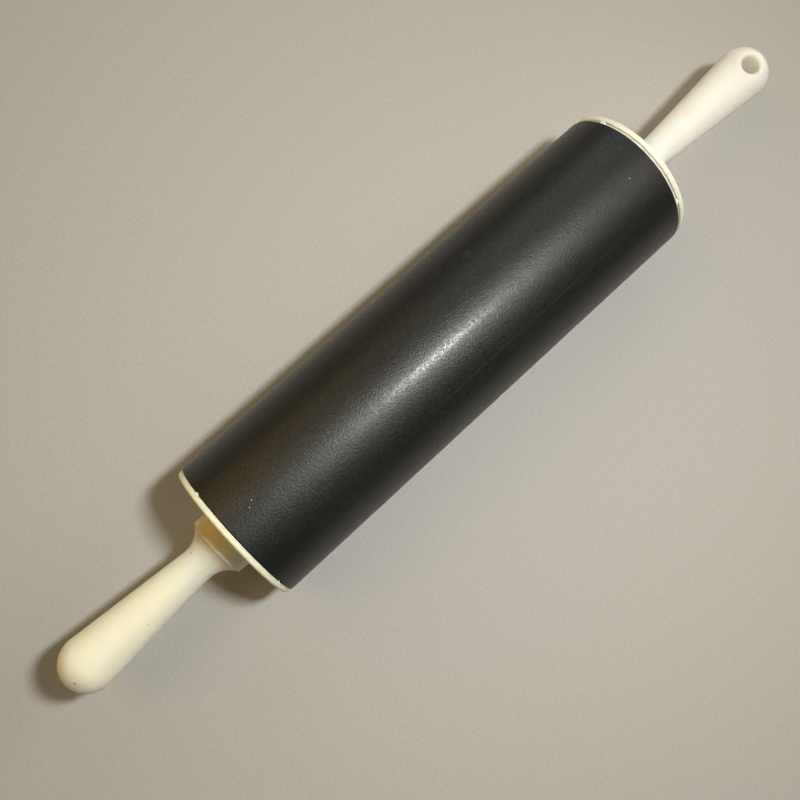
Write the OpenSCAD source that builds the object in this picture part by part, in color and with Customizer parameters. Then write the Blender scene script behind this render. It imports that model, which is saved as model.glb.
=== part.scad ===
// Double-handled roller: a rubber-sleeved tube that turns on a steel rod held by two moulded handles.
// The rod lies along X. The roller rests on the XY plane, with the origin under its middle.
// Every turned piece is drawn as a half section: x is the radius, y the distance from the roller's
// middle, outwards along the rod.

/* [Roller] */
// Diameter over the rubber sleeve
sleeve_d = 73; // [54:1:100]
// Thickness of the rubber sleeve
sleeve_t = 1.2; // [0.8:0.1:4]
// Radius on the sleeve's outer edges
sleeve_edge_r = 0.6; // [0.2:0.1:0.7]
// Length of the roller over both end caps
barrel_l = 254; // [120:1:420]
// Wall of the core tube
tube_wall = 3; // [2:0.5:5]
// Length of bare tube past the sleeve's right end
tube_bare = 1.1; // [0:0.1:4]
// Gap between the tube's right end and the right cap's flange
cap_gap = 0.55; // [0.1:0.05:2]
// Depth of the right cap's shoulder, which keeps that gap, below the tube's surface
shoulder_drop = 0.8; // [0.3:0.1:2]

/* [End caps] */
// Thickness of a cap's flange
flange_t = 2.9; // [2.5:0.1:6]
// Depth of the flange's edge below the sleeve's surface
flange_drop = 0.5; // [0.2:0.05:1.5]
// Radius on the flange's outer edge
flange_edge_r = 1.2; // [0.4:0.1:1.6]
// Depth of the dish in a cap's outer face
dish_depth = 1.1; // [0.3:0.1:1.3]
// Width of the flange's raised rim
rim_w = 4; // [3:0.5:8]
// Length of the spigot inside the tube
spigot_l = 14; // [8:1:30]
// Wall of the spigot
spigot_wall = 2.4; // [1.6:0.1:4]
// Diameter of the hub around the bush
hub_d = 27; // [24:1:32]
// Length of the hub from the cap's outer face
hub_l = 19; // [15:1:30]
// Number of ribs between the hub and the spigot
rib_count = 8; // [4:1:12]
// Thickness of a rib
rib_t = 1.8; // [1:0.1:3]
// Depth of a rib behind the flange
rib_h = 9; // [4:1:12]
// Number of locating nibs around a cap
nib_count = 4; // [2:1:8]
// Width of a nib around the rim
nib_w = 2.4; // [1:0.1:4]
// Length of a left cap's nib from the flange
left_nib_l = 0.6; // [0.4:0.1:3]
// Length of a right cap's nib from the flange
right_nib_l = 1.4; // [0.8:0.1:3]
// Depth of a nib's top below the flange's edge
nib_drop = 0.1; // [0.05:0.05:0.3]
// Angle of the left cap's first nib from the top
left_nib_angle = 36; // [0:1:90]
// Angle of the right cap's first nib from the top
right_nib_angle = 46; // [0:1:90]

/* [Axle and bearings] */
// Diameter of the steel rod
rod_d = 8; // [6:0.5:10]
// Length of rod held inside each handle, from the cap's face
rod_grip = 32; // [24:1:50]
// Chamfer on the rod's ends
rod_chamfer = 1; // [0.5:0.1:2]
// Wall of a bush
bush_wall = 3; // [1.5:0.5:4]
// Length of a bush under its flange
bush_l = 16; // [10:1:24]
// Thickness of a bush's flange
bush_flange_t = 1.5; // [1:0.1:3]
// Width of a bush's flange past its barrel
bush_flange_w = 2.5; // [1.5:0.5:3]
// Height of a bush's flange above the cap's face
bush_proud = 0.3; // [0.1:0.1:0.8]
// Width of a thrust washer around the rod
washer_w = 4.2; // [2.5:0.1:5]
// Thickness of a thrust washer
washer_t = 1; // [0.6:0.1:2]
// Size of a jam nut across its flats
nut_af = 13; // [11:0.5:16]
// Thickness of a jam nut
nut_t = 4; // [3:0.5:6]
// Wall of a handle insert
insert_wall = 1.6; // [1.2:0.1:2]
// Length of a handle insert
insert_l = 24; // [14:1:30]

/* [Handles] */
// Length of a handle's end past the cap's face
handle_reach = 95.5; // [80:1:140]
// Diameter of the round end and of the grip beside it
grip_d = 26.2; // [22:0.2:34]
// Diameter of the neck
neck_d = 16.4; // [15:0.2:20]
// Distance of the neck from the cap's face
neck_at = 21.6; // [17:0.2:30]
// Radius of the flare between the neck and the skirt
flare_r = 13; // [7:0.5:16]
// Diameter of the skirt at the foot of the flare
crease_d = 29.6; // [27:0.2:31]
// Diameter of the skirt at the cap
skirt_d = 30; // [29:0.2:36]
// Gap between the skirt and the cap
skirt_gap = 0.8; // [0.4:0.1:2]
// Diameter of the recess in the skirt
recess_d = 22; // [20:0.5:24]
// Diameter of the hanging hole
hang_d = 9; // [5:0.5:11]
// Radius of the hanging hole's rounded mouths
hang_mouth_r = 1.8; // [0.5:0.1:3]
// Angle at which a mouth's rounding meets the round end
hang_mouth_angle = 16; // [10:1:40]

/* [Fits] */
// Glue line between the tube and the sleeve
bond_gap = 0.05; // [0.02:0.01:0.2]
// Radial clearance of the spigot in the tube
spigot_gap = 0.1; // [0.05:0.01:0.3]
// Clearance between the tube's right end and the right cap's shoulder
shoulder_gap = 0.05; // [0.02:0.01:0.2]
// Clearance around a nib in its notch
notch_gap = 0.15; // [0.05:0.01:0.4]
// Radial clearance of a bush in its hub
bush_gap = 0.03; // [0.01:0.01:0.1]
// Radial running clearance of the rod in a bush
running_gap = 0.05; // [0.02:0.01:0.1]
// Radial clearance of the rod in the nuts and inserts
thread_gap = 0.05; // [0.02:0.01:0.1]
// Radial clearance of a thrust washer on the rod
washer_gap = 0.2; // [0.1:0.05:0.5]
// Radial clearance of an insert in its handle
insert_gap = 0.03; // [0.01:0.01:0.1]
// End float of the roller at each thrust washer
end_float = 0.3; // [0.1:0.05:1]

/* [Hidden] */
$fn = 96;
LEFT = -1;
RIGHT = 1;
// Overrun of a cutting shape past the face that it opens
over = 1;

// Roller
sleeve_r = sleeve_d / 2;
sleeve_bore_r = sleeve_r - sleeve_t;
tube_r = sleeve_bore_r - bond_gap;
tube_bore_r = tube_r - tube_wall;
face = barrel_l / 2;
flange_in = face - flange_t;
tube_right = flange_in - cap_gap;
sleeve_right = tube_right - tube_bare;

// End caps
spigot_r = tube_bore_r - spigot_gap;
spigot_bore_r = spigot_r - spigot_wall;
spigot_end = flange_in - spigot_l;
spigot_lead = spigot_wall / 3;
hub_r = hub_d / 2;
flange_r = sleeve_r - flange_drop;
rim_bore_r = flange_r - rim_w;
dish_r = skirt_d / 2 + 1.5;
nib_top_r = flange_r - nib_drop;
// A rib and a nib start this far inside the piece of the moulding that carries them
root = 0.6;

// Bearings
rod_r = rod_d / 2;
bush_bore_r = rod_r + running_gap;
bush_r = bush_bore_r + bush_wall;
bush_flange_r = bush_r + bush_flange_w;
bush_face = face + bush_proud;
bush_shoulder = bush_face - bush_flange_t;
bush_end = bush_shoulder - bush_l;
bush_chamfer = 0.5;
washer_bore_r = rod_r + washer_gap;
washer_r = washer_bore_r + washer_w;
washer_face = bush_face + end_float;
nut_face = washer_face + washer_t;
seat = nut_face + nut_t;
insert_bore_r = rod_r + thread_gap;
insert_r = insert_bore_r + insert_wall;
groove_w = 2;
groove_depth = 0.5;
rod_end = face + rod_grip;

// Handles
neck_r = neck_d / 2;
neck = face + neck_at;
grip_r = grip_d / 2;
ball = face + handle_reach - grip_r;
// Angle of the grip's taper, which touches the neck's edge and is tangent to the round end
taper = asin(grip_r / norm([neck_r, ball - neck])) - atan2(neck_r, ball - neck);
ball_edge = [grip_r * cos(taper), ball - grip_r * sin(taper)];
flare_centre = [neck_r + flare_r * cos(taper), neck - flare_r * sin(taper)];
crease_r = crease_d / 2;
crease = flare_centre.y - sqrt(flare_r ^ 2 - (flare_centre.x - crease_r) ^ 2);
skirt_r = skirt_d / 2;
skirt_foot = face + skirt_gap;
// The skirt's side runs on past the crease, where the flare cuts it off
skirt_end = crease + over;
skirt_end_r = skirt_r + (crease_r - skirt_r) * (skirt_end - skirt_foot) / (crease - skirt_foot);
recess_r = recess_d / 2;
rod_hole_r = rod_r + 0.3;
rod_hole_end = rod_end + 2;
hang_r = hang_d / 2;
// A mouth's rounding is centred at this distance from the ball's centre, and its centre is as high as
// the end of the hole's straight wall
mouth_reach = sqrt(grip_r ^ 2 + hang_mouth_r ^ 2 - 2 * grip_r * hang_mouth_r * cos(hang_mouth_angle));
mouth_centre_r = hang_r + hang_mouth_r;
hang_wall = sqrt(mouth_reach ^ 2 - mouth_centre_r ^ 2);

// Turns a piece drawn along Z onto the rod, towards one end of the roller
module on_rod(side) translate([0, 0, sleeve_r]) rotate([0, side * 90, 0]) children();

// A ring between two radii and two heights, as a half section
module ring(r_in, r_out, low, high) translate([r_in, low]) square([r_out - r_in, high - low]);

// The upper outer corner of a half section, rounded, with its corner at [r, high]
module round_corner(r, high, radius) difference() {
    translate([r - radius, high - radius]) square(radius + over);
    translate([r - radius, high - radius]) circle(radius);
}

// The angle of a cap's first nib about the rod, from the upward direction of each end's own frame
function nib_start(side) = side == RIGHT ? 180 - right_nib_angle : left_nib_angle;

function nib_l(side) = side == RIGHT ? right_nib_l : left_nib_l;

// Boxes where a cap's nibs are, grown by a clearance
module nibs(side, gap, inner_r, outer_r)
    for (i = [0 : nib_count - 1])
        rotate([0, 0, nib_start(side) + i * 360 / nib_count])
            translate([inner_r, -nib_w / 2 - gap, flange_in - nib_l(side) - gap])
                cube([outer_r - inner_r, nib_w + 2 * gap, nib_l(side) + gap + root]);

// The notches that both caps' nibs need in the tube and in the sleeve
module notches(inner_r)
    for (side = [LEFT, RIGHT])
        on_rod(side) nibs(side, notch_gap, inner_r, sleeve_r + over);

module rubber_sleeve() color([0.13, 0.13, 0.13]) difference() {
    on_rod(RIGHT) rotate_extrude() difference() {
        ring(sleeve_bore_r, sleeve_r, -flange_in, sleeve_right);
        round_corner(sleeve_r, sleeve_right, sleeve_edge_r);
        mirror([0, 1]) round_corner(sleeve_r, flange_in, sleeve_edge_r);
    }
    notches(sleeve_bore_r - root);
}

module core_tube() color([0.93, 0.9, 0.78]) difference() {
    on_rod(RIGHT) rotate_extrude() ring(tube_bore_r, tube_r, -flange_in, tube_right);
    notches(tube_bore_r - root);
}

// Half section of a cap: flange with its raised rim and dish, spigot and hub, bored for the bush. The
// right one has a shoulder that the tube's end seats on.
module cap_section(side) difference() {
    union() {
        ring(0, flange_r, flange_in, face);
        if (side == RIGHT) ring(spigot_bore_r, tube_r - shoulder_drop, tube_right + shoulder_gap, flange_in);
        polygon([[spigot_bore_r, flange_in], [spigot_bore_r, spigot_end],
            [spigot_r - spigot_lead, spigot_end], [spigot_r, spigot_end + 2 * spigot_lead],
            [spigot_r, flange_in]]);
        ring(0, hub_r, face - hub_l, flange_in);
    }
    round_corner(flange_r, face, flange_edge_r);
    polygon([[dish_r, face - dish_depth], [rim_bore_r - dish_depth, face - dish_depth],
        [rim_bore_r + over, face + over], [dish_r - dish_depth - over, face + over]]);
    ring(0, bush_r + bush_gap, face - hub_l - over, face + over);
    ring(0, bush_flange_r + bush_gap, bush_shoulder, face + over);
}

module end_cap(side) color([0.94, 0.92, 0.8]) on_rod(side) {
    rotate_extrude() cap_section(side);
    for (i = [0 : rib_count - 1])
        rotate([0, 0, (i + 0.5) * 360 / rib_count])
            translate([hub_r - root, -rib_t / 2, flange_in - rib_h])
                cube([spigot_bore_r - hub_r + 2 * root, rib_t, rib_h + root]);
    nibs(side, 0, spigot_r - root, nib_top_r);
}

module bush(side) color([0.86, 0.86, 0.84]) on_rod(side) rotate_extrude() difference() {
    union() {
        polygon([[bush_bore_r, bush_end], [bush_r - bush_chamfer, bush_end],
            [bush_r, bush_end + bush_chamfer], [bush_r, bush_shoulder], [bush_bore_r, bush_shoulder]]);
        ring(bush_bore_r, bush_flange_r, bush_shoulder, bush_face);
    }
    round_corner(bush_flange_r, bush_face, bush_flange_t / 3);
}

module axle_rod() color([0.72, 0.73, 0.75]) on_rod(RIGHT) rotate_extrude()
    polygon([[0, -rod_end], [rod_r - rod_chamfer, -rod_end], [rod_r, rod_chamfer - rod_end],
        [rod_r, rod_end - rod_chamfer], [rod_r - rod_chamfer, rod_end], [0, rod_end]]);

module thrust_washer(side) color([0.78, 0.79, 0.8]) on_rod(side) rotate_extrude() difference() {
    ring(washer_bore_r, washer_r, washer_face, nut_face);
    round_corner(washer_r, nut_face, washer_t / 3);
}

// A thin hexagon nut, its corners chamfered on both faces
module jam_nut(side) color([0.7, 0.7, 0.68]) on_rod(side) {
    corner_r = nut_af / 2 / cos(30);
    bevel = corner_r - nut_af / 2;
    intersection() {
        translate([0, 0, nut_face]) difference() {
            cylinder(r = corner_r, h = nut_t, $fn = 6);
            translate([0, 0, -over]) cylinder(r = insert_bore_r, h = nut_t + 2 * over);
        }
        rotate_extrude() polygon([[0, nut_face], [nut_af / 2, nut_face],
            [corner_r, nut_face + bevel * tan(30)], [corner_r, seat - bevel * tan(30)],
            [nut_af / 2, seat], [0, seat]]);
    }
}

module handle_insert(side) color([0.8, 0.66, 0.35]) on_rod(side) rotate_extrude() difference() {
    ring(insert_bore_r, insert_r, seat, seat + insert_l);
    for (i = [1, 3])
        ring(insert_r - groove_depth, insert_r + over, seat + insert_l * i / 4 - groove_w / 2,
            seat + insert_l * i / 4 + groove_w / 2);
}

// Half section of a handle: skirt, flare, tapered grip and round end, bored for the rod
module handle_section() difference() {
    union() {
        difference() {
            polygon([[0, skirt_foot], [skirt_r, skirt_foot], [skirt_end_r, skirt_end],
                [neck_r, neck], [0, neck]]);
            translate(flare_centre) circle(flare_r);
        }
        polygon([[0, neck], [neck_r, neck], ball_edge, [0, ball_edge.y]]);
        intersection() {
            translate([0, ball]) circle(grip_r);
            ring(0, grip_r + over, ball_edge.y, ball + grip_r + over);
        }
    }
    ring(0, recess_r, skirt_foot - over, seat);
    ring(0, insert_r + insert_gap, seat - over, seat + insert_l);
    ring(0, rod_hole_r, seat, rod_hole_end);
}

// The hanging hole's cutting shape, straight in the middle and rounded out at both mouths
module hanging_hole() rotate([0, 90, 0]) rotate_extrude() {
    ring(0, hang_r, -hang_wall, hang_wall);
    for (end = [0, 1]) mirror([0, end]) difference() {
        ring(0, mouth_centre_r * (1 + hang_mouth_r / mouth_reach), hang_wall, grip_r + over);
        translate([mouth_centre_r, hang_wall]) circle(hang_mouth_r);
    }
}

module handle(side) color([0.95, 0.92, 0.8]) on_rod(side) rotate_extrude() handle_section();

module left_handle() handle(LEFT);

module right_handle() difference() {
    handle(RIGHT);
    on_rod(RIGHT) translate([0, 0, ball]) hanging_hole();
}

rubber_sleeve();
core_tube();
end_cap(LEFT);  // left_end_cap
end_cap(RIGHT);  // right_end_cap
bush(LEFT);  // left_bush
bush(RIGHT);  // right_bush
axle_rod();
thrust_washer(LEFT);  // left_thrust_washer
thrust_washer(RIGHT);  // right_thrust_washer
jam_nut(LEFT);  // left_jam_nut
jam_nut(RIGHT);  // right_jam_nut
handle_insert(LEFT);  // left_handle_insert
handle_insert(RIGHT);  // right_handle_insert
left_handle();
right_handle();
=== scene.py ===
"""The looks of a hand roller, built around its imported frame.

A thin black rubber sleeve covers a pale tube. The tube turns on a steel rod between two moulded
handles, and the right handle has a hole to hang it by. The rod lies along X and Z is up. A place on
a turned piece is given by its distance along the rod, its radius, and its angle from the top
towards +Y.
"""

from __future__ import annotations

import logging
import math
from collections.abc import Callable, Mapping, Sequence
from dataclasses import dataclass, field
from enum import Enum
from typing import Any

import bmesh
import bpy
from mathutils import Matrix, Vector


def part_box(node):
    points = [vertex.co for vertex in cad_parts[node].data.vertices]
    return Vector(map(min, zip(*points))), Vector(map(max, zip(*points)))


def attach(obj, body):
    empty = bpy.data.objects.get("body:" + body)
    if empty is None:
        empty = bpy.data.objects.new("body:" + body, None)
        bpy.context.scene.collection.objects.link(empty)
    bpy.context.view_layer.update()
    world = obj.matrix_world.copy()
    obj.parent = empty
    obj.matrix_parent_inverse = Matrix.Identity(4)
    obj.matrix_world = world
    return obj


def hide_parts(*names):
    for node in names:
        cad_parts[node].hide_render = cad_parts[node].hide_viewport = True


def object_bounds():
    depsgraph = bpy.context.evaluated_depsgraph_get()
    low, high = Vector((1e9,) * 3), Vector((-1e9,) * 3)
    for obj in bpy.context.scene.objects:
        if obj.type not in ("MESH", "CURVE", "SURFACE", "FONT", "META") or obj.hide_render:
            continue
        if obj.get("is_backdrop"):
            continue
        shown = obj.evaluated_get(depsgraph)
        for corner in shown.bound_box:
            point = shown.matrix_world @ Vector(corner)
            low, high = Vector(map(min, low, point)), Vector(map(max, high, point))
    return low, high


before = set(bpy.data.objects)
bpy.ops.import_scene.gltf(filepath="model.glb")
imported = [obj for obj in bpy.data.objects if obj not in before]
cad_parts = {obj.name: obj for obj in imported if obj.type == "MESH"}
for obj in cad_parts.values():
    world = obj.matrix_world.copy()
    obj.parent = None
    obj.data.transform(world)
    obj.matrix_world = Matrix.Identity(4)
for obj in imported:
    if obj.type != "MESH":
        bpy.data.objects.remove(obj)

MM = 0.001
MARK_CORE = 0.55  # the share of a mark's size that shows it at its full strength
Point = tuple[float, float]
Triple = tuple[float, float, float]
Colour = Triple
Piece = bpy.types.Object
Material = bpy.types.Material
Shape = bmesh.types.BMesh
log = logging.getLogger("roller")


class Side(Enum):
    """An end of the roller, as the sign of its X."""

    LEFT = -1
    RIGHT = 1

    @property
    def word(self) -> str:
        """The side's name, as the frame's nodes spell it."""
        return self.name.lower()


class Body(Enum):
    """The frame's two moving bodies."""

    HANDLES = "handles"
    ROLLER = "roller"


# ---- shader sums


class Value:
    """A socket of a material's node tree, with arithmetic that adds its nodes."""

    def __init__(self, graph: Graph, socket: bpy.types.NodeSocket) -> None:
        """Wraps a socket.

        Args:
            graph: the node tree's builder.
            socket: an output socket in that tree.
        """
        self.graph = graph
        self.socket = socket

    @property
    def plain(self) -> bool:
        """Whether the socket carries one number."""
        return self.socket.type == "VALUE"

    def _sum(self, operation: str, first: Any, second: Any) -> Value:
        """Adds one arithmetic node.

        Args:
            operation: the node's operation.
            first: its first value, number or vector.
            second: its second one.

        Returns:
            The node's result.
        """
        single = all(not isinstance(v, Value) or v.plain for v in (first, second))
        kind = "ShaderNodeMath" if single else "ShaderNodeVectorMath"
        terms = {}
        for place, term in enumerate((first, second)):
            terms[place] = term if single or not isinstance(term, float | int) else (term,) * 3
        return self.graph.add(kind, {"operation": operation}, terms)

    def __add__(self, other: Any) -> Value:
        """self + other."""
        return self._sum("ADD", self, other)

    def __sub__(self, other: Any) -> Value:
        """self - other."""
        return self._sum("SUBTRACT", self, other)

    def __mul__(self, other: Any) -> Value:
        """self * other."""
        return self._sum("MULTIPLY", self, other)

    def __truediv__(self, other: Any) -> Value:
        """self / other."""
        return self._sum("DIVIDE", self, other)

    __radd__ = __add__

    def ramp(self, low: float, high: float, start: float = 0.0, end: float = 1.0) -> Value:
        """Goes smoothly from one number to another while the value goes from low to high.

        Args:
            low: the value where the change starts.
            high: the value where it ends.
            start: the result at low.
            end: the result at high.

        Returns:
            The smoothed value.
        """
        numbers = {"Value": self, 1: low, 2: high, 3: start, 4: end}
        return self.graph.add("ShaderNodeMapRange", {"interpolation_type": "SMOOTHSTEP"}, numbers)

    def mix(self, first: Any, second: Any) -> Value:
        """Blends two colours, with this value as the share of the second.

        Args:
            first: the colour where the value is 0.
            second: the colour where it is 1.

        Returns:
            The blended colour.
        """
        return self.graph.add("ShaderNodeMix", {"data_type": "RGBA"}, {0: self, 6: first, 7: second}, 2)

    def length(self) -> Value:
        """The length of a vector."""
        return self.graph.add("ShaderNodeVectorMath", {"operation": "LENGTH"}, {0: self}, "Value")


class Graph:
    """A material's node tree and its principled shader."""

    def __init__(self, name: str, uniform: Mapping[str, Any]) -> None:
        """Starts a material.

        Args:
            name: the material's name.
            uniform: numbers and colours that are the same all over, by the shader's socket names.
        """
        self.material = bpy.data.materials.new(name)
        self.material.use_nodes = True
        self.tree = self.material.node_tree
        self.shader = self.tree.nodes["Principled BSDF"]
        for name, value in uniform.items():
            _fill(self.shader.inputs[name], value)

    def add(
        self, kind: str, settings: Mapping[str, Any], inputs: Mapping[int | str, Any], output: int | str = 0
    ) -> Value:
        """Adds a node.

        Args:
            kind: the node's type.
            settings: its own settings, which are made first.
            inputs: a number, colour, vector or Value for each socket, by its place or name.
            output: the place or name of the output that is wanted.

        Returns:
            That output.
        """
        node = self.tree.nodes.new(kind)
        for name, value in settings.items():
            setattr(node, name, value)
        for place, value in inputs.items():
            if isinstance(value, Value):
                self.tree.links.new(value.socket, node.inputs[place])
            else:
                _fill(node.inputs[place], value)
        return Value(self, node.outputs[output])

    def millimetres(self) -> Value:
        """The place on the piece at rest, in millimetres."""
        place = self.add("ShaderNodeTexCoord", {}, {}, output="Object")
        return place * (1 / MM)

    def line(
        self, place: Value, angle: float, axis: float, edge: float, share: float
    ) -> tuple[Value, Value]:
        """A thin line along the rod.

        Args:
            place: where it is read, in millimetres.
            angle: the line's angle from the top towards +Y, in degrees.
            axis: the rod's height, in millimetres.
            edge: the square of half the line's width, in square millimetres.
            share: the line's share of the colour along its middle.

        Returns:
            The place's X, and the line's share of the colour there.
        """
        node = self.add("ShaderNodeSeparateXYZ", {}, {0: place}).socket.node
        along, across, height = (Value(self, socket) for socket in node.outputs)
        turn = math.radians(angle)
        gap = across * math.cos(turn) - (height - axis) * math.sin(turn)
        return along, (gap * gap).ramp(0.0, edge, share, 0.0)

    def noise(
        self, place: Value, size: float, detail: float = 2.0, roughness: float = 0.5, stretch: float = 1.0
    ) -> Value:
        """Soft random noise from 0 to 1, around a half.

        Args:
            place: where it is read, in millimetres.
            size: the size of its blobs in millimetres.
            detail: how many finer layers it has.
            roughness: how strong the finer layers are.
            stretch: how much longer the blobs are along the rod.

        Returns:
            The noise.
        """
        point = place * (1 / size / stretch, 1 / size, 1 / size)
        inputs = {"Vector": point, "Scale": 1.0, "Detail": detail, "Roughness": roughness}
        return self.add("ShaderNodeTexNoise", {}, inputs)

    def bump(self, height: Value, depth: float, below: Value | None = None) -> Value:
        """Turns a height into a surface normal.

        Args:
            height: the height, from 0 to 1.
            depth: the depth of a whole step of height, in millimetres.
            below: the normal of a coarser bump under it.

        Returns:
            The normal.
        """
        inputs = {"Height": height, "Distance": depth * MM}
        if below is not None:
            inputs["Normal"] = below
        return self.add("ShaderNodeBump", {}, inputs)

    def finish(self, varied: Mapping[str, Value]) -> Material:
        """Links what varies over the surface to the shader.

        Args:
            varied: a Value for each of the shader's sockets that varies, by name.

        Returns:
            The finished material.
        """
        for socket, value in varied.items():
            self.tree.links.new(value.socket, self.shader.inputs[socket])
        return self.material


def _fill(socket: bpy.types.NodeSocket, value: Any) -> None:
    """Sets an unlinked socket, where a colour is given without its alpha."""
    socket.default_value = (*value, 1.0) if socket.type == "RGBA" else value


@dataclass(frozen=True)
class Mark:
    """A small stain, scuff or speck on a turned piece, or a patch of painted shade."""

    along: float
    angle: float
    radius: float
    size: float
    colour: Colour
    strength: float = 1.0
    stretch: float = 1.0

    def mask(self, graph: Graph, place: Value, ragged: Value, axis: float) -> Value:
        """Where the mark shows.

        Args:
            graph: the material's builder; not used.
            place: where it is read, in millimetres.
            ragged: noise that makes the mark's edge uneven.
            axis: the rod's height, in millimetres.

        Returns:
            The mark's share of the colour, from 0 to its strength.
        """
        turn = math.radians(self.angle)
        centre = (self.along, self.radius * math.sin(turn), axis + self.radius * math.cos(turn))
        gap = (place - centre) * (1 / self.stretch, 1.0, 1.0)
        return (gap.length() / self.size + ragged - 0.5).ramp(MARK_CORE, 1.0, self.strength, 0.0)


# ---- finishes


@dataclass(frozen=True)
class RubberFinish:
    """Black rubber with a fine ground grain, a little dust and a faint line along it.

    It has a broad gloss under a weak narrow one, and fine flecks vary both.
    """

    axis: float
    name: str = "black_rubber"
    dark: Colour = (0.0066, 0.0069, 0.0069)
    worn: Colour = (0.0122, 0.0126, 0.0126)
    gloss: float = 0.465
    gloss_spread: float = 0.05
    sheen: float = 0.155
    sheen_gloss: float = 0.23
    grain: float = 0.78
    grain_depth: float = 0.13
    fleck_share: float = 0.21
    fleck_edges: tuple[float, float] = (0.38, 0.62)
    sheen_swing: float = 0.75
    cell_size: float = 0.9
    cloud_size: float = 26.0
    film_size: float = 5.0
    sparkle: float = 0.34
    line_angle: float = -33.6
    line_span: tuple[float, float] = (-42.0, 115.0)
    line_fade: float = 30.0
    line_edge: float = 0.25
    line_share: float = 0.55
    pale: Colour = (0.026, 0.026, 0.024)
    marks: tuple[Mark, ...] = (
        Mark(-108.8, 5.6, 36.4, 0.30, (0.80, 0.78, 0.72), 0.9),
        Mark(-111.3, 3.0, 36.4, 0.28, (0.62, 0.60, 0.55), 0.8),
        Mark(-113.5, 8.9, 36.4, 0.26, (0.30, 0.29, 0.26), 0.7),
        Mark(108.5, -3.8, 36.4, 0.29, (0.80, 0.78, 0.72), 0.9),
        Mark(31.8, 34.9, 36.4, 2.6, (0.030, 0.029, 0.025), 0.5),
        Mark(99.7, -15.0, 36.4, 2.2, (0.030, 0.030, 0.028), 0.4),
    )

    def material(self) -> Material:
        """Makes the material.

        Returns:
            The rubber.
        """
        skin = {"Coat Roughness": self.sheen_gloss, "Coat IOR": 1.5}
        graph = Graph(self.name, {"IOR": 1.52, "Specular IOR Level": 0.545, **skin})
        place = graph.millimetres()
        cloud = graph.noise(place, self.cloud_size, 3.0, 0.6, stretch=1.6)
        film = graph.noise(place, self.film_size, 4.0, 0.65)
        grain = graph.noise(place, self.grain, 2.0, 0.6)
        speck = graph.noise(place, 2 * self.grain, 2.0, 0.7)
        cells = {"Vector": place, "Scale": 1 / self.cell_size, "Randomness": 1.0}
        cell = graph.add("ShaderNodeTexVoronoi", {"feature": "F1"}, cells)
        ragged = graph.noise(place, 0.5, 2.0)
        wear = cloud.ramp(0.35, 0.75) * 0.35 + film.ramp(0.4, 0.8) * 0.35
        wear = wear + grain.ramp(0.5, 0.8) * 0.3
        along, line = graph.line(place, self.line_angle, self.axis, self.line_edge, self.line_share)
        first, last = self.line_span
        line = line * along.ramp(first, first + self.line_fade)
        line = line * along.ramp(last - self.line_fade, last, 1.0, 0.0)
        colour = line.mix(wear.mix(self.dark, self.worn), self.pale)
        for mark in self.marks:
            colour = mark.mask(graph, place, ragged, self.axis).mix(colour, mark.colour)
        roughness = self.gloss + (cloud - 0.5) * self.gloss_spread
        roughness = roughness + (film - 0.5) * self.gloss_spread + (speck - 0.5) * self.sparkle
        height = grain * 0.7 + cell.ramp(0.0, 0.9) * 0.3
        weak, full = (1 - self.sheen_swing) * self.sheen, (1 + self.sheen_swing) * self.sheen
        varied = {
            "Base Color": colour,
            "Roughness": roughness,
            "Metallic": grain.ramp(*self.fleck_edges, self.fleck_share, 0.0),
            "Coat Weight": grain.ramp(*self.fleck_edges, weak, full),
            "Normal": graph.bump(height, self.grain_depth),
        }
        return graph.finish(varied)


@dataclass(frozen=True)
class IvoryFinish:
    """Cream moulded plastic that has yellowed a little with use."""

    name: str
    axis: float
    clean: Colour = (0.885, 0.872, 0.825)
    aged: Colour = (0.87, 0.845, 0.745)
    gloss: float = 0.46
    age_from: float = 0.40
    soft: float = 0.8
    soft_tint: Colour = (1.0, 0.88, 0.72)
    soft_depth: float = 6.0
    cloud_size: float = 18.0
    mottle_size: float = 2.6
    peel_size: float = 0.8
    seam_angle: float | None = None
    seam_clean: float = 158.0
    seam_fade: float = 3000.0
    seam_edge: float = 0.02
    seam_share: float = 0.5
    seam_rest: float = 0.15
    seam_dirt: Colour = (0.55, 0.47, 0.30)
    marks: tuple[Mark, ...] = ()

    def material(self) -> Material:
        """Makes the material.

        Returns:
            The plastic.
        """
        depth = {"Subsurface Radius": self.soft_tint, "Subsurface Scale": self.soft_depth * MM}
        gloss = {"IOR": 1.5, "Specular IOR Level": 0.4}
        graph = Graph(self.name, {"Subsurface Weight": self.soft, **depth, **gloss})
        place = graph.millimetres()
        cloud = graph.noise(place, self.cloud_size, 3.0, 0.6, stretch=1.4)
        mottle = graph.noise(place, self.mottle_size, 3.0, 0.6)
        peel = graph.noise(place, self.peel_size, 2.0, 0.5)
        ragged = graph.noise(place, 0.7, 2.0)
        aged = cloud.ramp(self.age_from, self.age_from + 0.4) * 0.35 + mottle.ramp(0.45, 0.8) * 0.25
        colour = aged.mix(self.clean, self.aged)
        if self.seam_angle is not None:
            along, seam = graph.line(place, self.seam_angle, self.axis, self.seam_edge, self.seam_share)
            seam = seam * graph.noise(place, 3.0, 2.0).ramp(0.42, 0.62)
            end = self.seam_clean**2
            seam = seam * (along * along).ramp(end - self.seam_fade, end, 1.0, self.seam_rest)
            colour = seam.mix(colour, self.seam_dirt)
        for mark in self.marks:
            colour = mark.mask(graph, place, ragged, self.axis).mix(colour, mark.colour)
        roughness = self.gloss + (cloud - 0.5) * 0.10 + (mottle - 0.5) * 0.08
        relief = graph.bump(peel, 0.006, below=graph.bump(cloud, 0.05))
        return graph.finish({"Base Color": colour, "Roughness": roughness, "Normal": relief})


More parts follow.
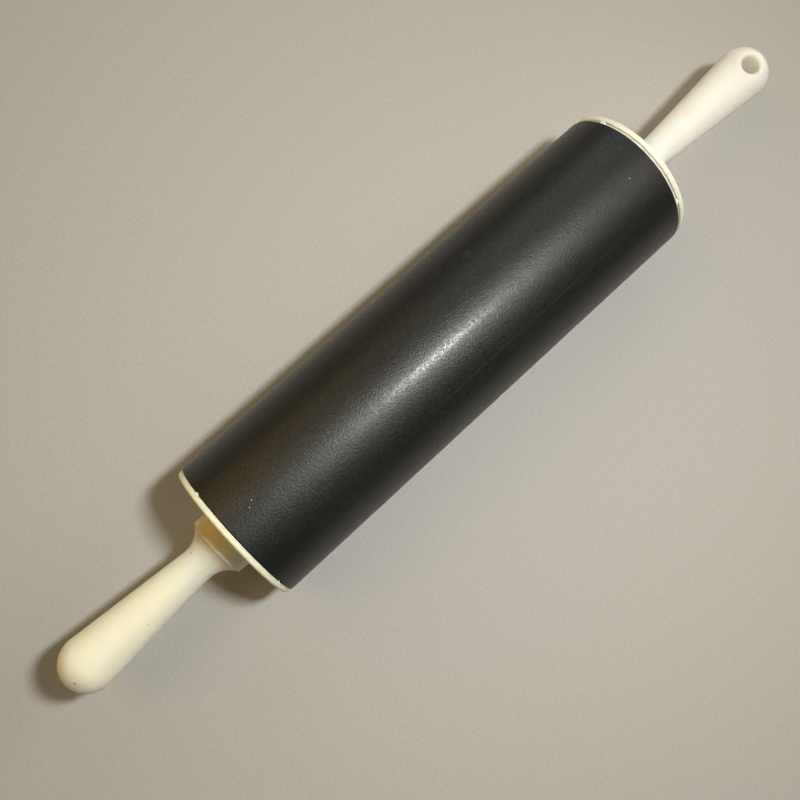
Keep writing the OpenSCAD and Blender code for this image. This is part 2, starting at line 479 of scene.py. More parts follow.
@dataclass(frozen=True)
class MetalFinish:
    """Bare or plated metal with the fine lines of a turning or drawing tool."""

    name: str
    bright: Colour
    dull: Colour
    gloss: float
    lines: float
    stretch: float

    def material(self) -> Material:
        """Makes the material.

        Returns:
            The metal.
        """
        graph = Graph(self.name, {"Metallic": 1.0})
        place = graph.millimetres()
        cloud = graph.noise(place, 6.0, 4.0, 0.6)
        lines = graph.noise(place, self.lines, 3.0, 0.6, stretch=self.stretch)
        colour = cloud.ramp(0.4, 0.75).mix(self.bright, self.dull)
        roughness = self.gloss + (cloud - 0.5) * 0.15 + (lines - 0.5) * 0.2
        relief = graph.bump(lines, 0.004)
        return graph.finish({"Base Color": colour, "Roughness": roughness, "Normal": relief})


@dataclass(frozen=True)
class BushFinish:
    """Smooth white bearing plastic, rubbed by the rod."""

    name: str = "acetal"
    clean: Colour = (0.80, 0.80, 0.77)
    rubbed: Colour = (0.55, 0.54, 0.50)

    def material(self) -> Material:
        """Makes the material.

        Returns:
            The bearing plastic.
        """
        graph = Graph(self.name, {"IOR": 1.48})
        place = graph.millimetres()
        rings = graph.noise(place, 0.5, 3.0, 0.6, stretch=0.2)
        cloud = graph.noise(place, 4.0, 3.0, 0.6)
        worn = cloud.ramp(0.45, 0.8) * 0.5 + rings.ramp(0.5, 0.8) * 0.3
        colour = worn.mix(self.clean, self.rubbed)
        roughness = 0.32 + (rings - 0.5) * 0.2
        relief = graph.bump(rings, 0.004)
        return graph.finish({"Base Color": colour, "Roughness": roughness, "Normal": relief})


@dataclass(frozen=True)
class PaperFinish:
    """A plain pale studio floor, which the camera sees fade into the backdrop far away."""

    backdrop: Colour
    name: str = "floor_paper"
    fade_from: float = 420.0
    fade_to: float = 1300.0
    pale: Colour = (0.508, 0.494, 0.482)
    shade: Colour = (0.463, 0.449, 0.437)

    def material(self) -> Material:
        """Makes the material.

        Returns:
            The floor's paper.
        """
        dull = {"Roughness": 0.95, "Specular IOR Level": 0.1}
        graph = Graph(self.name, {"Emission Strength": 1.0, **dull})
        place = graph.millimetres()
        fibre = graph.noise(place, 1.5, 3.0, 0.6)
        black = (0.0, 0.0, 0.0)
        far = graph.add("ShaderNodeLightPath", {}, {}, output="Is Camera Ray")
        far = far * place.length().ramp(self.fade_from, self.fade_to)
        colour = far.mix(fibre.ramp(0.3, 0.7).mix(self.pale, self.shade), black)
        shown = far.mix(black, self.backdrop)
        relief = graph.bump(fibre, 0.02)
        return graph.finish({"Base Color": colour, "Emission Color": shown, "Normal": relief})


# ---- shapes


def arc(centre: Point, radius: float, start: float, end: float, steps: int) -> list[Point]:
    """Points along a circle, in the plane of a half section.

    Args:
        centre: the circle's middle, as distance along the rod and radius.
        radius: its radius.
        start: the angle of the first point from the rod's direction, in degrees.
        end: the angle of the last point.
        steps: how many chords the arc has.

    Returns:
        The points, both ends included.
    """
    turns = [math.radians(start + (end - start) * i / steps) for i in range(steps + 1)]
    return [(centre[0] + radius * math.cos(t), centre[1] + radius * math.sin(t)) for t in turns]


def eased(corners: Sequence[Triple], closed: bool, steps: int = 5) -> list[Point]:
    """Rounds the corners of a half section.

    Args:
        corners: each corner's distance along the rod, radius, and rounding.
        closed: whether the last corner joins the first.
        steps: how many chords a rounded corner has.

    Returns:
        The section's points.
    """
    points: list[Point] = []
    count = len(corners)
    for i, (along, radius, rounding) in enumerate(corners):
        here = Vector((along, radius))
        if rounding <= 0 or (not closed and i in (0, count - 1)):
            points.append((along, radius))
            continue
        back = (Vector(corners[i - 1][:2]) - here).normalized()
        ahead = (Vector(corners[(i + 1) % count][:2]) - here).normalized()
        half = math.acos(max(-1.0, min(1.0, back.dot(ahead)))) / 2
        middle = here + (back + ahead).normalized() * (rounding / math.sin(half))
        first = here + back * (rounding / math.tan(half)) - middle
        sweep = first.angle_signed(here + ahead * (rounding / math.tan(half)) - middle)
        for k in range(steps + 1):
            turned = first.copy()
            turned.rotate(Matrix.Rotation(-sweep * k / steps, 2))
            points.append(tuple(middle + turned))
    return points


def held(points: Sequence[Point], closed: bool, longest: float, margin: float = 0.12 * MM) -> list[Point]:
    """Splits long stretches of a half section, and adds points close to their ends.

    Args:
        points: the section's points.
        closed: whether the last point joins the first.
        longest: the longest stretch that stays whole, in metres.
        margin: the distance of the added points from a stretch's ends.

    Returns:
        The section with its added points.
    """
    made: list[Point] = []
    for i, point in enumerate(points):
        made.append(point)
        if i == len(points) - 1 and not closed:
            break
        start, end = Vector(point), Vector(points[(i + 1) % len(points)])
        run = (end - start).length
        if run < 4 * margin:
            continue
        pieces = max(1, math.ceil(run / longest))
        shares = [margin / run, *(k / pieces for k in range(1, pieces)), 1 - margin / run]
        made += [tuple(start.lerp(end, share)) for share in shares]
    return made


@dataclass(frozen=True)
class Lathe:
    """Turns half sections about the rod."""

    axis: float
    segments: int

    def turn(
        self,
        name: str,
        section: Sequence[Point],
        closed: bool = True,
        relief: Callable[[float, float], float] | None = None,
        extra_angles: Sequence[float] = (),
    ) -> Piece:
        """Turns a half section about the rod.

        Args:
            name: the piece's name.
            section: its points, as X and radius; a point of no radius becomes a pole.
            closed: whether the last point joins the first.
            relief: how far a point stands out, from its X and its angle in radians.
            extra_angles: angles in radians that get a row of points besides the even ones.

        Returns:
            The piece.
        """
        even = [2 * math.pi * k / self.segments for k in range(self.segments)]
        angles = sorted({*even, *extra_angles})
        shape = bmesh.new()
        rows: list[list[bmesh.types.BMVert]] = []
        for along, radius in section:
            if radius < 1e-7:
                rows.append([shape.verts.new((along, 0.0, self.axis))])
                continue
            row = []
            for angle in angles:
                out = radius + (relief(along, angle) if relief else 0.0)
                up = self.axis + out * math.cos(angle)
                row.append(shape.verts.new((along, out * math.sin(angle), up)))
            rows.append(row)
        return skinned(name, shape, rows, closed)


def skinned(name: str, shape: Shape, rows: list[list[bmesh.types.BMVert]], closed: bool) -> Piece:
    """Lays faces between rows of points and makes an object of them.

    Args:
        name: the object's name.
        shape: the shape that holds the points, which is used up.
        rows: rings of the same number of points, or poles of one.
        closed: whether the last row joins the first.

    Returns:
        The object.
    """
    count = max(len(row) for row in rows)
    for low, high in zip(rows, rows[1:] + rows[:1] if closed else rows[1:]):
        for k in range(count):
            ring = [low[k % len(low)], low[(k + 1) % count % len(low)]]
            ring += [high[(k + 1) % count % len(high)], high[k % len(high)]]
            corners = list(dict.fromkeys(ring))
            if len(corners) > 2:
                shape.faces.new(corners)
    return finished(name, shape)


def finished(name: str, shape: Shape) -> Piece:
    """Makes an object of a shape, with its faces turned outwards.

    Args:
        name: the object's name.
        shape: the shape, which is used up.

    Returns:
        The object.
    """
    bmesh.ops.recalc_face_normals(shape, faces=shape.faces)
    mesh = bpy.data.meshes.new(name)
    shape.to_mesh(mesh)
    shape.free()
    piece = bpy.data.objects.new(name, mesh)
    bpy.context.scene.collection.objects.link(piece)
    return piece


def smoothed(piece: Piece, sharp: float = 32.0) -> Piece:
    """Shades a piece smooth, apart from its sharp edges.

    Args:
        piece: the piece.
        sharp: the angle in degrees from which an edge stays sharp.

    Returns:
        The same piece.
    """
    piece.data.shade_smooth()
    piece.data.set_sharp_from_angle(angle=math.radians(sharp))
    return piece


def block(shape: Shape, size: Vector, place: Matrix, rounding: float) -> None:
    """Adds a small block with rounded edges to a shape.

    Args:
        shape: the shape.
        size: the block's three sides.
        place: where its middle lies, and how it is turned.
        rounding: the radius of its edges, or 0.
    """
    made = bmesh.ops.create_cube(shape, size=1.0, matrix=place @ Matrix.Diagonal((*size, 1.0)))
    if rounding:
        edges = list({edge for vert in made["verts"] for edge in vert.link_edges})
        bmesh.ops.bevel(shape, geom=edges, offset=rounding, segments=3, profile=0.5, affect="EDGES")


def joined(piece: Piece, tool: Piece, operation: str) -> Piece:
    """Adds a tool's shape to a piece, or cuts it away, and removes the tool.

    Args:
        piece: the piece.
        tool: the shape that is added or cut away.
        operation: UNION or DIFFERENCE.

    Returns:
        The same piece.
    """
    change = piece.modifiers.new("change", "BOOLEAN")
    change.operation, change.object, change.solver = operation, tool, "EXACT"
    bpy.context.view_layer.update()
    result = piece.evaluated_get(bpy.context.evaluated_depsgraph_get())
    mesh = bpy.data.meshes.new_from_object(result)
    piece.modifiers.remove(change)
    piece.data = mesh
    mesh.name = piece.name
    bpy.data.objects.remove(tool)
    return piece


def settle(piece: Piece, finish: Material, body: Body, node: str) -> None:
    """Dresses a piece and ties it to the frame.

    Args:
        piece: the piece.
        finish: its material.
        body: the body that it moves with.
        node: the frame's node that it stands for.
    """
    piece.data.materials.clear()
    piece.data.materials.append(finish)
    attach(piece, body.value)
    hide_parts(node)
    log.info("%s: %d faces, on %s, for %s", piece.name, len(piece.data.polygons), body.value, node)


# ---- sub-assemblies


@dataclass(frozen=True)
class Nibs:
    """The small locating lugs of a cap, and the notches that they sit in."""

    count: int = 4
    wide: float = 2.4 * MM
    left_long: float = 0.6 * MM
    right_long: float = 1.4 * MM
    drop: float = 0.1 * MM
    root: float = 0.6 * MM
    rounding: float = 0.25 * MM
    notch_gap: float = 0.15 * MM
    left_angle: float = 36.0
    right_angle: float = 46.0

    def blocks(
        self, shape: Shape, side: Side, axis: float, seat: float, low: float, high: float, gap: float
    ) -> None:
        """Adds a cap's lugs, or the cutting shapes of their notches.

        Args:
            shape: the shape that takes them.
            side: the cap's side.
            axis: the rod's height.
            seat: the X of the flange's inner face, without its sign.
            low: the lugs' inner radius.
            high: their outer radius.
            gap: how much a notch is larger on every side, or 0 for the lugs.
        """
        first, long = self.right_angle, self.right_long
        if side is Side.LEFT:
            first, long = self.left_angle, self.left_long
        deep = long + gap + self.root
        for i in range(self.count):
            turn = Matrix.Rotation(-math.radians(first + 360 * i / self.count), 4, "X")
            along = side.value * (seat - long - gap + deep / 2)
            out = Matrix.Translation((along, 0, (low + high) / 2))
            place = Matrix.Translation((0, 0, axis)) @ turn @ out
            size = Vector((deep, self.wide + 2 * gap, high - low))
            block(shape, size, place, 0.0 if gap else self.rounding)


@dataclass
class Barrel:
    """The rubber sleeve and the tube under it."""

    axis: float
    sleeve_t: float = 1.2 * MM
    sleeve_edge: float = 0.6 * MM
    bore_edge: float = 0.1 * MM
    tube_wall: float = 3.0 * MM
    tube_edge: float = 0.25 * MM
    ring_step: float = 9.0 * MM
    notch_in: float = 0.6 * MM
    notch_out: float = 1.0 * MM
    segments: int = 256
    nibs: Nibs = field(default_factory=Nibs)

    def sleeve(self) -> Piece:
        """Builds the rubber sleeve.

        Returns:
            The sleeve.
        """
        edges = (self.bore_edge, self.sleeve_edge)
        limits = (self.ring_step, self.notch_out)
        return self._shell("rubber_skin", "rubber_sleeve", self.sleeve_t, edges, *limits)

    def tube(self) -> Piece:
        """Builds the core tube.

        Returns:
            The tube.
        """
        edges = (self.tube_edge, self.tube_edge)
        limits = (2 * self.ring_step, 2 * self.notch_out)
        return self._shell("tube_shell", "core_tube", self.tube_wall, edges, *limits)

    def _shell(
        self, name: str, node: str, wall: float, edges: Point, step: float, reach: float
    ) -> Piece:
        """Builds a plain tube that is notched for the caps' lugs.

        Args:
            name: the piece's name.
            node: the frame's node that gives its length and its diameter.
            wall: the thickness of its wall.
            edges: the roundings of its bore's ends and of its outside's.
            step: the longest stretch along it without a ring of points.
            reach: how far the shapes that cut its notches stick out of it.

        Returns:
            The tube.
        """
        low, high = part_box(node)
        outer = (high.y - low.y) / 2
        inner = outer - wall
        ends = [(low.x, inner, edges[0]), (low.x, outer, edges[1])]
        ends += [(high.x, outer, edges[1]), (high.x, inner, edges[0])]
        section = held(eased(ends, closed=True), True, step)
        piece = Lathe(self.axis, self.segments).turn(name, section)
        shape = bmesh.new()
        seat, gap = abs(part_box("rubber_sleeve")[0].x), self.nibs.notch_gap
        for side in Side:
            self.nibs.blocks(shape, side, self.axis, seat, inner - self.notch_in, outer + reach, gap)
        return smoothed(joined(piece, finished("notches", shape), "DIFFERENCE"))


@dataclass
class EndCap:
    """A moulded cap: flange with a raised rim and a dish, spigot, hub, ribs and lugs."""

    side: Side
    axis: float
    flange_t: float = 2.9 * MM
    flange_edge: float = 1.2 * MM
    inner_edge: float = 0.25 * MM
    rim_w: float = 4.0 * MM
    dish_depth: float = 1.1 * MM
    dish_r: float = 16.6 * MM
    spigot_r: float = 32.15 * MM
    spigot_wall: float = 2.4 * MM
    spigot_l: float = 14.0 * MM
    hub_r: float = 13.5 * MM
    hub_l: float = 19.0 * MM
    bush_r: float = 7.08 * MM
    bush_flange_r: float = 9.58 * MM
    bush_seat: float = 1.2 * MM
    rib_count: int = 8
    rib_t: float = 1.8 * MM
    rib_h: float = 9.0 * MM
    flange_r: float = 36.0 * MM
    shoulder_r: float = 34.45 * MM
    shoulder_t: float = 0.5 * MM
    shoulder_edge: float = 0.05 * MM
    segments: int = 224
    nibs: Nibs = field(default_factory=Nibs)

    def build(self) -> Piece:
        """Builds the cap.

        Returns:
            The cap.
        """
        low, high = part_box(f"{self.side.word}_end_cap")
        face = max(abs(low.x), abs(high.x))
        seat = face - self.flange_t
        outer, bore = self.flange_r, self.spigot_r - self.spigot_wall
        dish = face - self.dish_depth
        tip = seat - self.spigot_l
        lead = self.spigot_wall / 3
        foot = [(seat, self.spigot_r, 0.0)]
        if self.side is Side.RIGHT:
            step, rest, ease = seat - self.shoulder_t, self.shoulder_r, self.shoulder_edge
            foot = [(step, self.spigot_r, 0.0), (step, rest, ease), (seat, rest, ease)]
        # Each corner has its distance from the roller's middle, its radius and its rounding.
        corners = [
            (face - self.hub_l, self.bush_r, 0.3 * MM),
            (face - self.hub_l, self.hub_r, 0.6 * MM),
            (seat, self.hub_r, 0.5 * MM),
            (seat, bore, 0.5 * MM),
            (tip, bore, 0.3 * MM),
            (tip, self.spigot_r - lead, 0.2 * MM),
            (tip + 2 * lead, self.spigot_r, 0.3 * MM),
            *foot,
            (seat, outer, self.inner_edge),
            (face, outer, self.flange_edge),
            (face, outer - self.rim_w, 0.35 * MM),
            (dish, outer - self.rim_w - self.dish_depth, 0.5 * MM),
            (dish, self.dish_r, 0.5 * MM),
            (face, self.dish_r - self.dish_depth, 0.35 * MM),
            (face, self.bush_flange_r, 0.15 * MM),
            (face - self.bush_seat, self.bush_flange_r, 0.1 * MM),
            (face - self.bush_seat, self.bush_r, 0.1 * MM),
        ]
        signed = [(self.side.value * along, radius, ease) for along, radius, ease in corners]
        section = held(eased(signed, closed=True), True, 3 * MM)
        piece = Lathe(self.axis, self.segments).turn(f"{self.side.word}_cap_moulding", section)
        return smoothed(joined(piece, self._added(seat), "UNION"))

    def _added(self, seat: float) -> Piece:
        """The ribs behind the flange and the lugs on its edge.

        Args:
            seat: the X of the flange's inner face, without its sign.

        Returns:
            The ribs and lugs as one object.
        """
        shape = bmesh.new()
        root = self.nibs.root
        low, high = self.hub_r - root, self.spigot_r - self.spigot_wall + root
        size = Vector((self.rib_h + root, self.rib_t, high - low))
        for i in range(self.rib_count):
            turn = Matrix.Rotation(-math.radians((i + 0.5) * 360 / self.rib_count), 4, "X")
            along = self.side.value * (seat - self.rib_h + size.x / 2)
            place = Matrix.Translation((0, 0, self.axis)) @ turn
            block(shape, size, place @ Matrix.Translation((along, 0, (low + high) / 2)), 0.0)
        low, high = self.spigot_r - root, self.flange_r - self.nibs.drop
        self.nibs.blocks(shape, self.side, self.axis, seat, low, high, 0.0)
        return finished("added", shape)


@dataclass
class Handle:
    """A moulded handle: skirt, flare, tapered grip and round end, bored for the rod."""

    side: Side
    axis: float
    face: float
    skirt_r: float = 15.0 * MM
    crease_r: float = 14.8 * MM
    neck_r: float = 8.2 * MM
    neck_at: float = 21.6 * MM
    flare_r: float = 13.0 * MM
    crease_lap: float = 0.08
    grip_r: float = 13.1 * MM
    recess_r: float = 11.0 * MM
    insert_r: float = 5.68 * MM
    insert_at: float = 5.6 * MM
    insert_l: float = 24.0 * MM
    rod_hole_r: float = 4.3 * MM
    rod_hole_l: float = 34.0 * MM
    hang_r: float = 4.5 * MM
    mouth_r: float = 1.8 * MM
    mouth_angle: float = 16.0
    seam_angle: float = -25.5
    seam_wide: float = 0.18 * MM
    seam_high: float = 0.045 * MM
    segments: int = 176
    flare_chords: int = 26
    tip_chords: int = 40
    mouth_chords: int = 18
    hole_chords: int = 144

    def build(self) -> Piece:
        """Builds the handle.

        Returns:
            The handle, with a hanging hole if it is the right one.
        """
        section, crease, ball = self._section()
        seam = math.radians(self.seam_angle) % (2 * math.pi)
        near = [seam + k * self.seam_wide / 3 / self.grip_r for k in range(-6, 7)]

        def relief(along: float, angle: float) -> float:
            """The height of the parting line at a place."""
            off = min(abs(angle - seam), 2 * math.pi - abs(angle - seam)) * self.grip_r
            return self.seam_high * max(0.0, 1 - off / self.seam_wide) if abs(along) >= crease else 0.0

        name = f"{self.side.word}_grip_moulding"
        piece = Lathe(self.axis, self.segments).turn(name, section, False, relief, near)
        if self.side is Side.RIGHT:
            joined(piece, self._hole(ball), "DIFFERENCE")
        return smoothed(piece)

    def _section(self) -> tuple[list[Point], float, float]:
        """Works out the half section, whose taper touches the neck and the round end.

        Returns:
            Its points, and the distances of the skirt's crease and of the round end's middle.
        """
        low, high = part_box(f"{self.side.word}_handle")
        tip, foot = sorted((abs(low.x), abs(high.x)), reverse=True)
        ball = tip - self.grip_r
        neck = self.face + self.neck_at
        slope = math.atan2(self.neck_r, ball - neck)
        taper = math.asin(self.grip_r / math.hypot(self.neck_r, ball - neck)) - slope
        lean = math.degrees(taper)
        bend = self.flare_r
        flare = (neck - bend * math.sin(taper), self.neck_r + bend * math.cos(taper))
        swing = math.asin((flare[1] - self.crease_r) / bend)
        crease = flare[0] - bend * math.cos(swing)
        past = swing + self.crease_lap
        first = (flare[0] - bend * math.cos(past), flare[1] - bend * math.sin(past))
        start, end = self.face + self.insert_at, self.face + self.rod_hole_l
        stop = start + self.insert_l
        inside = eased(
            [
                (end, 0.0, 0.0),
                (end, self.rod_hole_r, 0.0),
                (stop, self.rod_hole_r, 0.0),
                (stop, self.insert_r, 0.0),
                (start, self.insert_r, 0.0),
                (start, self.recess_r, 0.3 * MM),
                (foot, self.recess_r, 0.3 * MM),
                (foot, self.skirt_r, 0.5 * MM),
                (crease, self.crease_r, 0.6 * MM),
                (*first, 0.0),
            ],
            closed=False,
        )
        outside = arc(flare, bend, 180 + math.degrees(swing), 270 + lean, self.flare_chords)
        outside += arc((ball, 0.0), self.grip_r, 90 + lean, 0.0, self.tip_chords)
        outside = [p for p in outside if p[0] > inside[-1][0] + 0.05 * MM]
        points = [(self.side.value * along, max(radius, 0.0)) for along, radius in inside + outside]
        points[-1] = (points[-1][0], 0.0)
        return held(points, False, 2.5 * MM), crease, ball

    def _hole(self, ball: float) -> Piece:
        """The cutting shape of the hanging hole, rounded out at both mouths.

        Args:
            ball: the X of the round end's middle.

        Returns:
            The cutting shape.
        """
        mouth = math.radians(self.mouth_angle)
        square = self.grip_r**2 + self.mouth_r**2 - 2 * self.grip_r * self.mouth_r * math.cos(mouth)
        reach = math.sqrt(square)
        middle = self.hang_r + self.mouth_r
        height = math.sqrt(reach**2 - middle**2)
        lean = math.asin(middle / reach) + math.asin(self.mouth_r * math.sin(mouth) / reach)
        edge = (self.grip_r * math.sin(lean), self.grip_r * math.cos(lean))
        turned = math.degrees(math.atan2(edge[1] - height, edge[0] - middle))
        upper = arc((middle, height), self.mouth_r, 180.0, turned, self.mouth_chords)
        beyond = [(upper[-1][0] + 0.02 * MM, upper[-1][1] + 2 * MM), (0.0, upper[-1][1] + 5 * MM)]
        half = [*upper, *beyond]
        section = [(r, -z) for r, z in reversed(half)] + half
        shape = bmesh.new()
        count = self.hole_chords
        rows = []
        for r, z in section:
            turns = [2 * math.pi * k / count for k in range(count if r > 0 else 1)]
            places = [(ball + r * math.cos(t), r * math.sin(t), self.axis + z) for t in turns]
            rows.append([shape.verts.new(place) for place in places])
        return skinned("hole", shape, rows, closed=False)


@dataclass
class AxleRod:
    """The steel rod, with a thread rolled on each end."""

    axis: float
    chamfer: float = 1.0 * MM
    thread_from: float = 133.0 * MM
    pitch: float = 1.25 * MM
    rings_per_turn: int = 8
    plain_rings: int = 40
    depth: float = 0.6 * MM
    segments: int = 48

    def build(self) -> Piece:
        """Builds the rod.

        Returns:
            The rod.
        """
        low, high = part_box("axle_rod")
        radius, end, start = (high.y - low.y) / 2, high.x, self.thread_from
        per_turn, plain = self.rings_per_turn, self.plain_rings
        turns = round((end - self.chamfer - start) / (self.pitch / per_turn))
        rings = [start + k * self.pitch / per_turn for k in range(turns)]
        smooth = [2 * start * k / plain - start for k in range(1, plain)]
        places = [-x for x in reversed(rings)] + smooth + rings
        face = radius - self.chamfer
        section = [(-end, 0.0), (-end, face), *((x, radius) for x in places), (end, face), (end, 0.0)]

        def relief(along: float, angle: float) -> float:
            """Cuts the thread.

            Args:
                along: a place's X.
                angle: its angle in radians.

            Returns:
                How far the thread stands out from the rod's surface there, which is below 0.
            """
            inside = abs(along) - start
            if inside <= 0 or abs(along) >= end - self.chamfer / 2:
                return 0.0
            wave = (inside / self.pitch - math.copysign(angle, along) / (2 * math.pi)) % 1.0
            return -self.depth * min(1.0, inside / self.pitch) * abs(2 * wave - 1)

        piece = Lathe(self.axis, self.segments).turn("threaded_rod", section, closed=False, relief=relief)
        return smoothed(piece, 40.0)


# ---- studio


@dataclass(frozen=True)
class Lamp:
    """A soft oval lamp that faces a point."""

    name: str
    place: Triple
    size: tuple[float, float]
    watts: float
    tint: Colour
    aim: Triple = (0.0, 0.0, 0.03)

    def build(self) -> None:
        """Sets the lamp up."""
        light = bpy.data.lights.new(self.name, "AREA")
        light.shape, light.energy, light.color = "ELLIPSE", self.watts, self.tint
        light.size, light.size_y = self.size
        lamp = bpy.data.objects.new(self.name, light)
        lamp.location = self.place
        lamp.rotation_mode = "QUATERNION"
        lamp.rotation_quaternion = (Vector(self.aim) - Vector(self.place)).to_track_quat("-Z", "Y")
        bpy.context.scene.collection.objects.link(lamp)


@dataclass(frozen=True)
class Viewpoint:
    """Where the camera stands, what it looks at, and how far it is rolled from +Y up."""

    place: Triple = (-0.08642, -0.0140, 0.43637)
    aim: Triple = (-0.03008, -0.0062, 0.0365)
    roll: float = 42.327
    lens: float = 39.065
    sensor: float = 36.0

    def build(self) -> None:
        """Sets the camera up."""
        data = bpy.data.cameras.new("viewpoint")
        data.lens, data.sensor_width, data.sensor_fit = self.lens, self.sensor, "HORIZONTAL"
        data.clip_start, data.clip_end = 0.01, 20.0
        ahead = (Vector(self.aim) - Vector(self.place)).normalized()
        level = Vector((0, 1, 0)) - ahead * ahead.y
        up = Matrix.Rotation(math.radians(self.roll), 3, ahead) @ level.normalized()
        right = ahead.cross(up)
        camera = bpy.data.objects.new("viewpoint", data)
        turn = Matrix((right, up, -ahead)).transposed().to_4x4()
        camera.matrix_world = Matrix.Translation(self.place) @ turn
        bpy.context.scene.collection.objects.link(camera)
        bpy.context.scene.camera = camera


@dataclass
class Studio:
    """The floor, the lamps, the soft light all round and the camera."""

    floor_half: float = 3.0
    around: Colour = (1.0, 0.78, 0.50)
    around_strength: float = 0.03
    backdrop: Colour = (0.56, 0.53, 0.48)
    view: Viewpoint = field(default_factory=Viewpoint)
    lamps: tuple[Lamp, ...] = (
        Lamp("key", (0.088, -0.076, 0.54), (0.05, 0.09), 2.52, (0.98, 1.0, 0.946), (-0.15, 0, 0.03)),
        Lamp("warm_fill", (-0.6, 1.6, 1.2), (2.0, 1.4), 5.8, (1.0, 0.70, 0.12)),
        Lamp("pale_fill", (0.9, 1.05, 0.95), (1.0, 1.0), 3.0, (0.86, 1.0, 0.98)),
        Lamp("high_fill", (-0.5, 0.7, 1.5), (0.8, 0.8), 3.8, (1.0, 0.70, 0.40)),
        Lamp("side_fill", (1.6, -0.3, 0.8), (1.0, 1.0), 9.0, (1.0, 0.83, 0.67)),
    )

    def build(self) -> None:
        """Sets the studio up."""
        self.view.build()
        for lamp in self.lamps:
            lamp.build()
        scene = bpy.context.scene
        scene.view_settings.view_transform = "Standard"
        scene.world = self._world()
        self._floor()

    def _world(self) -> bpy.types.World:
        """Makes the faint light all round, with the pale backdrop that only the camera sees.

        Returns:
            The world.
        """
        world = bpy.data.worlds.new("soft_light")
        world.use_nodes = True
        tree = world.node_tree
        light = tree.nodes["Background"]
        light.inputs["Color"].default_value = (*self.around, 1.0)
        light.inputs["Strength"].default_value = self.around_strength
        shown = tree.nodes.new("ShaderNodeBackground")
        shown.inputs["Color"].default_value = (*self.backdrop, 1.0)
        ray = tree.nodes.new("ShaderNodeLightPath")
        either = tree.nodes.new("ShaderNodeMixShader")
        parts = (ray.outputs["Is Camera Ray"], light.outputs[0], shown.outputs[0])
        for socket, place in zip(parts, either.inputs):
            tree.links.new(socket, place)
        tree.links.new(either.outputs[0], tree.nodes["World Output"].inputs["Surface"])
        return world

    def _floor(self) -> None:
        """Lays the floor under the roller."""
        shape = bmesh.new()
        half = self.floor_half
        signs = ((-1, -1), (1, -1), (1, 1), (-1, 1))
        shape.faces.new([shape.verts.new((x * half, y * half, 0.0)) for x, y in signs])
        floor = finished("floor", shape)
        if floor.data.polygons[0].normal.z < 0:
            floor.data.flip_normals()
        floor.data.materials.append(PaperFinish(self.backdrop).material())
        floor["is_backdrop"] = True
        log.info("floor: %.0f m across", 2 * half)


# ---- assembly


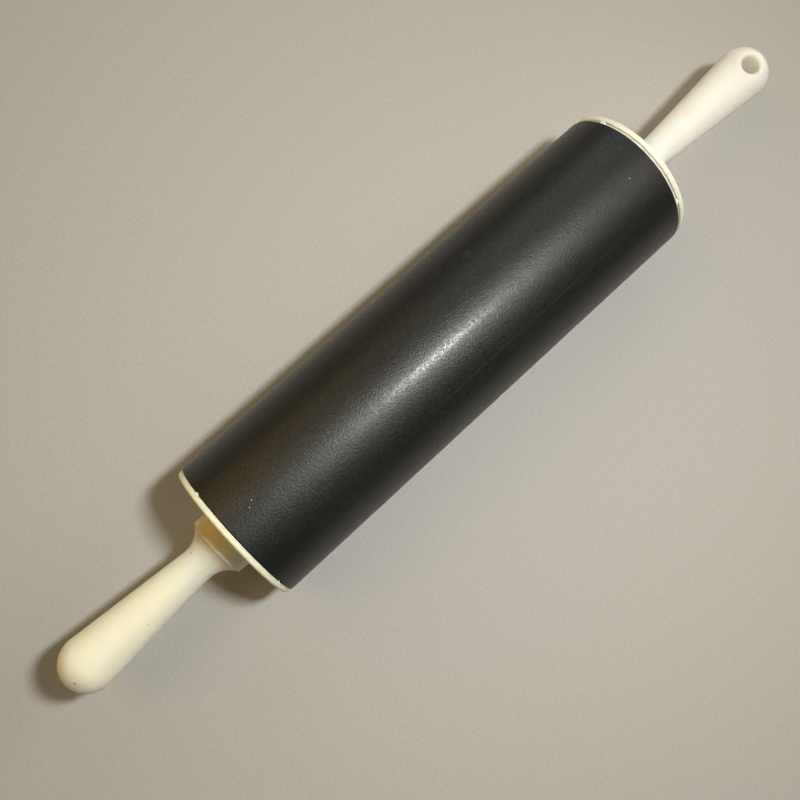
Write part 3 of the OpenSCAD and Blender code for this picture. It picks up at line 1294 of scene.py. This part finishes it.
@dataclass
class HandRoller:
    """The whole roller."""

    axis: float
    face: float

    def build(self) -> None:
        """Builds and dresses every piece, and dresses the frame's own hidden pieces."""
        axis_mm = self.axis / MM
        rubber = RubberFinish(axis_mm).material()
        tube = IvoryFinish("ivory_tube", axis_mm).material()
        caps = {side: self._cap_finish(side).material() for side in Side}
        barrel = Barrel(self.axis)
        settle(barrel.sleeve(), rubber, Body.ROLLER, "rubber_sleeve")
        settle(barrel.tube(), tube, Body.ROLLER, "core_tube")
        for side in Side:
            cap = EndCap(side, self.axis).build()
            settle(cap, caps[side], Body.ROLLER, f"{side.word}_end_cap")
        for side in Side:
            handle = Handle(side, self.axis, self.face)
            finish = self._handle_finish(handle).material()
            settle(handle.build(), finish, Body.HANDLES, f"{side.word}_handle")
        steel = MetalFinish("steel", (0.62, 0.62, 0.63), (0.48, 0.48, 0.50), 0.28, 0.12, 30.0)
        settle(AxleRod(self.axis).build(), steel.material(), Body.HANDLES, "axle_rod")
        self._dress()

    def _cap_finish(self, side: Side) -> IvoryFinish:
        """Chooses a cap's finish.

        Args:
            side: the cap's side.

        Returns:
            Its finish, with the lugs that the notches have scraped.
        """
        if side is Side.LEFT:
            clean, aged = (0.96, 0.93, 0.70), (0.94, 0.88, 0.60)
            along, angles = -123.7, (36.0, -54.0)
        else:
            clean, aged = (0.87, 0.85, 0.745), (0.86, 0.82, 0.66)
            along, angles = 123.2, (46.0, -44.0)
        marks = tuple(Mark(along, angle, 35.9, 1.4, (0.97, 0.96, 0.92), 0.8) for angle in angles)
        name = f"ivory_{side.word}_cap"
        return IvoryFinish(name, self.axis / MM, clean, aged, soft=0.25, marks=marks)

    def _handle_finish(self, handle: Handle) -> IvoryFinish:
        """Chooses a handle's finish.

        Args:
            handle: the handle.

        Returns:
            Its finish, with its stains, and on the left handle a patch of painted warm shade on the skirt.
        """
        if handle.side is Side.RIGHT:
            smudges = (
                Mark(169.5, 20.4, 9.9, 2.8, (0.74, 0.66, 0.44), 0.2, 1.9),
                Mark(166.9, -31.9, 9.7, 2.2, (0.80, 0.75, 0.58), 0.2),
            )
            name = "ivory_right_handle"
            return IvoryFinish(name, self.axis / MM, seam_angle=handle.seam_angle, marks=smudges)
        marks = (
            Mark(-145.2, 40.8, 8.2, 0.5, (0.26, 0.17, 0.07), 0.8),
            Mark(-216.0, -15.0, 11.3, 1.0, (0.42, 0.30, 0.15), 0.55),
            Mark(-178.1, -31.4, 10.7, 0.5, (0.42, 0.40, 0.34), 0.55),
            Mark(-196.6, 10.4, 12.0, 0.7, (0.62, 0.57, 0.46), 0.4),
            Mark(-216.0, 55.0, 12.0, 6.0, (0.80, 0.60, 0.42), 0.22, 1.6),
            # Painted warm shade: darkens and yellows the skirt's +Y side next to the flange, where the
            # flange's shadow falls.
            Mark(-131.0, 40.0, 15.0, 15.0, (0.74, 0.58, 0.30), 0.75, 0.75),
        )
        return IvoryFinish(
            "ivory_left_handle",
            self.axis / MM,
            clean=(0.94, 0.89, 0.74),
            aged=(0.91, 0.84, 0.64),
            seam_angle=handle.seam_angle,
            marks=marks,
        )

    def _dress(self) -> None:
        """Gives the frame's own small pieces their materials."""
        zinc = MetalFinish("zinc_steel", (0.66, 0.66, 0.62), (0.50, 0.49, 0.45), 0.38, 0.2, 1.0)
        brass = MetalFinish("brass", (0.78, 0.57, 0.26), (0.58, 0.40, 0.17), 0.34, 0.2, 0.3)
        plated = zinc.material()
        finishes = {
            "bush": BushFinish().material(),
            "thrust_washer": plated,
            "jam_nut": plated,
            "handle_insert": brass.material(),
        }
        for side in Side:
            for part, finish in finishes.items():
                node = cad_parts[f"{side.word}_{part}"]
                for place in node.material_slots:
                    place.material = finish
                log.info("%s: dressed in %s", node.name, finish.name)


def corners() -> list[list[float]]:
    """The shown object's lowest and highest corners, as plain lists."""
    return [list(corner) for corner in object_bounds()]


def main() -> None:
    """Builds the roller and its studio."""
    logging.basicConfig(level=logging.INFO, format="%(name)s: %(message)s")
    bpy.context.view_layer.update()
    low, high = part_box("rubber_sleeve")
    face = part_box("right_end_cap")[1].x
    Studio().build()
    HandRoller(axis=(low.z + high.z) / 2, face=face).build()


if __name__ == "__main__":
    main()
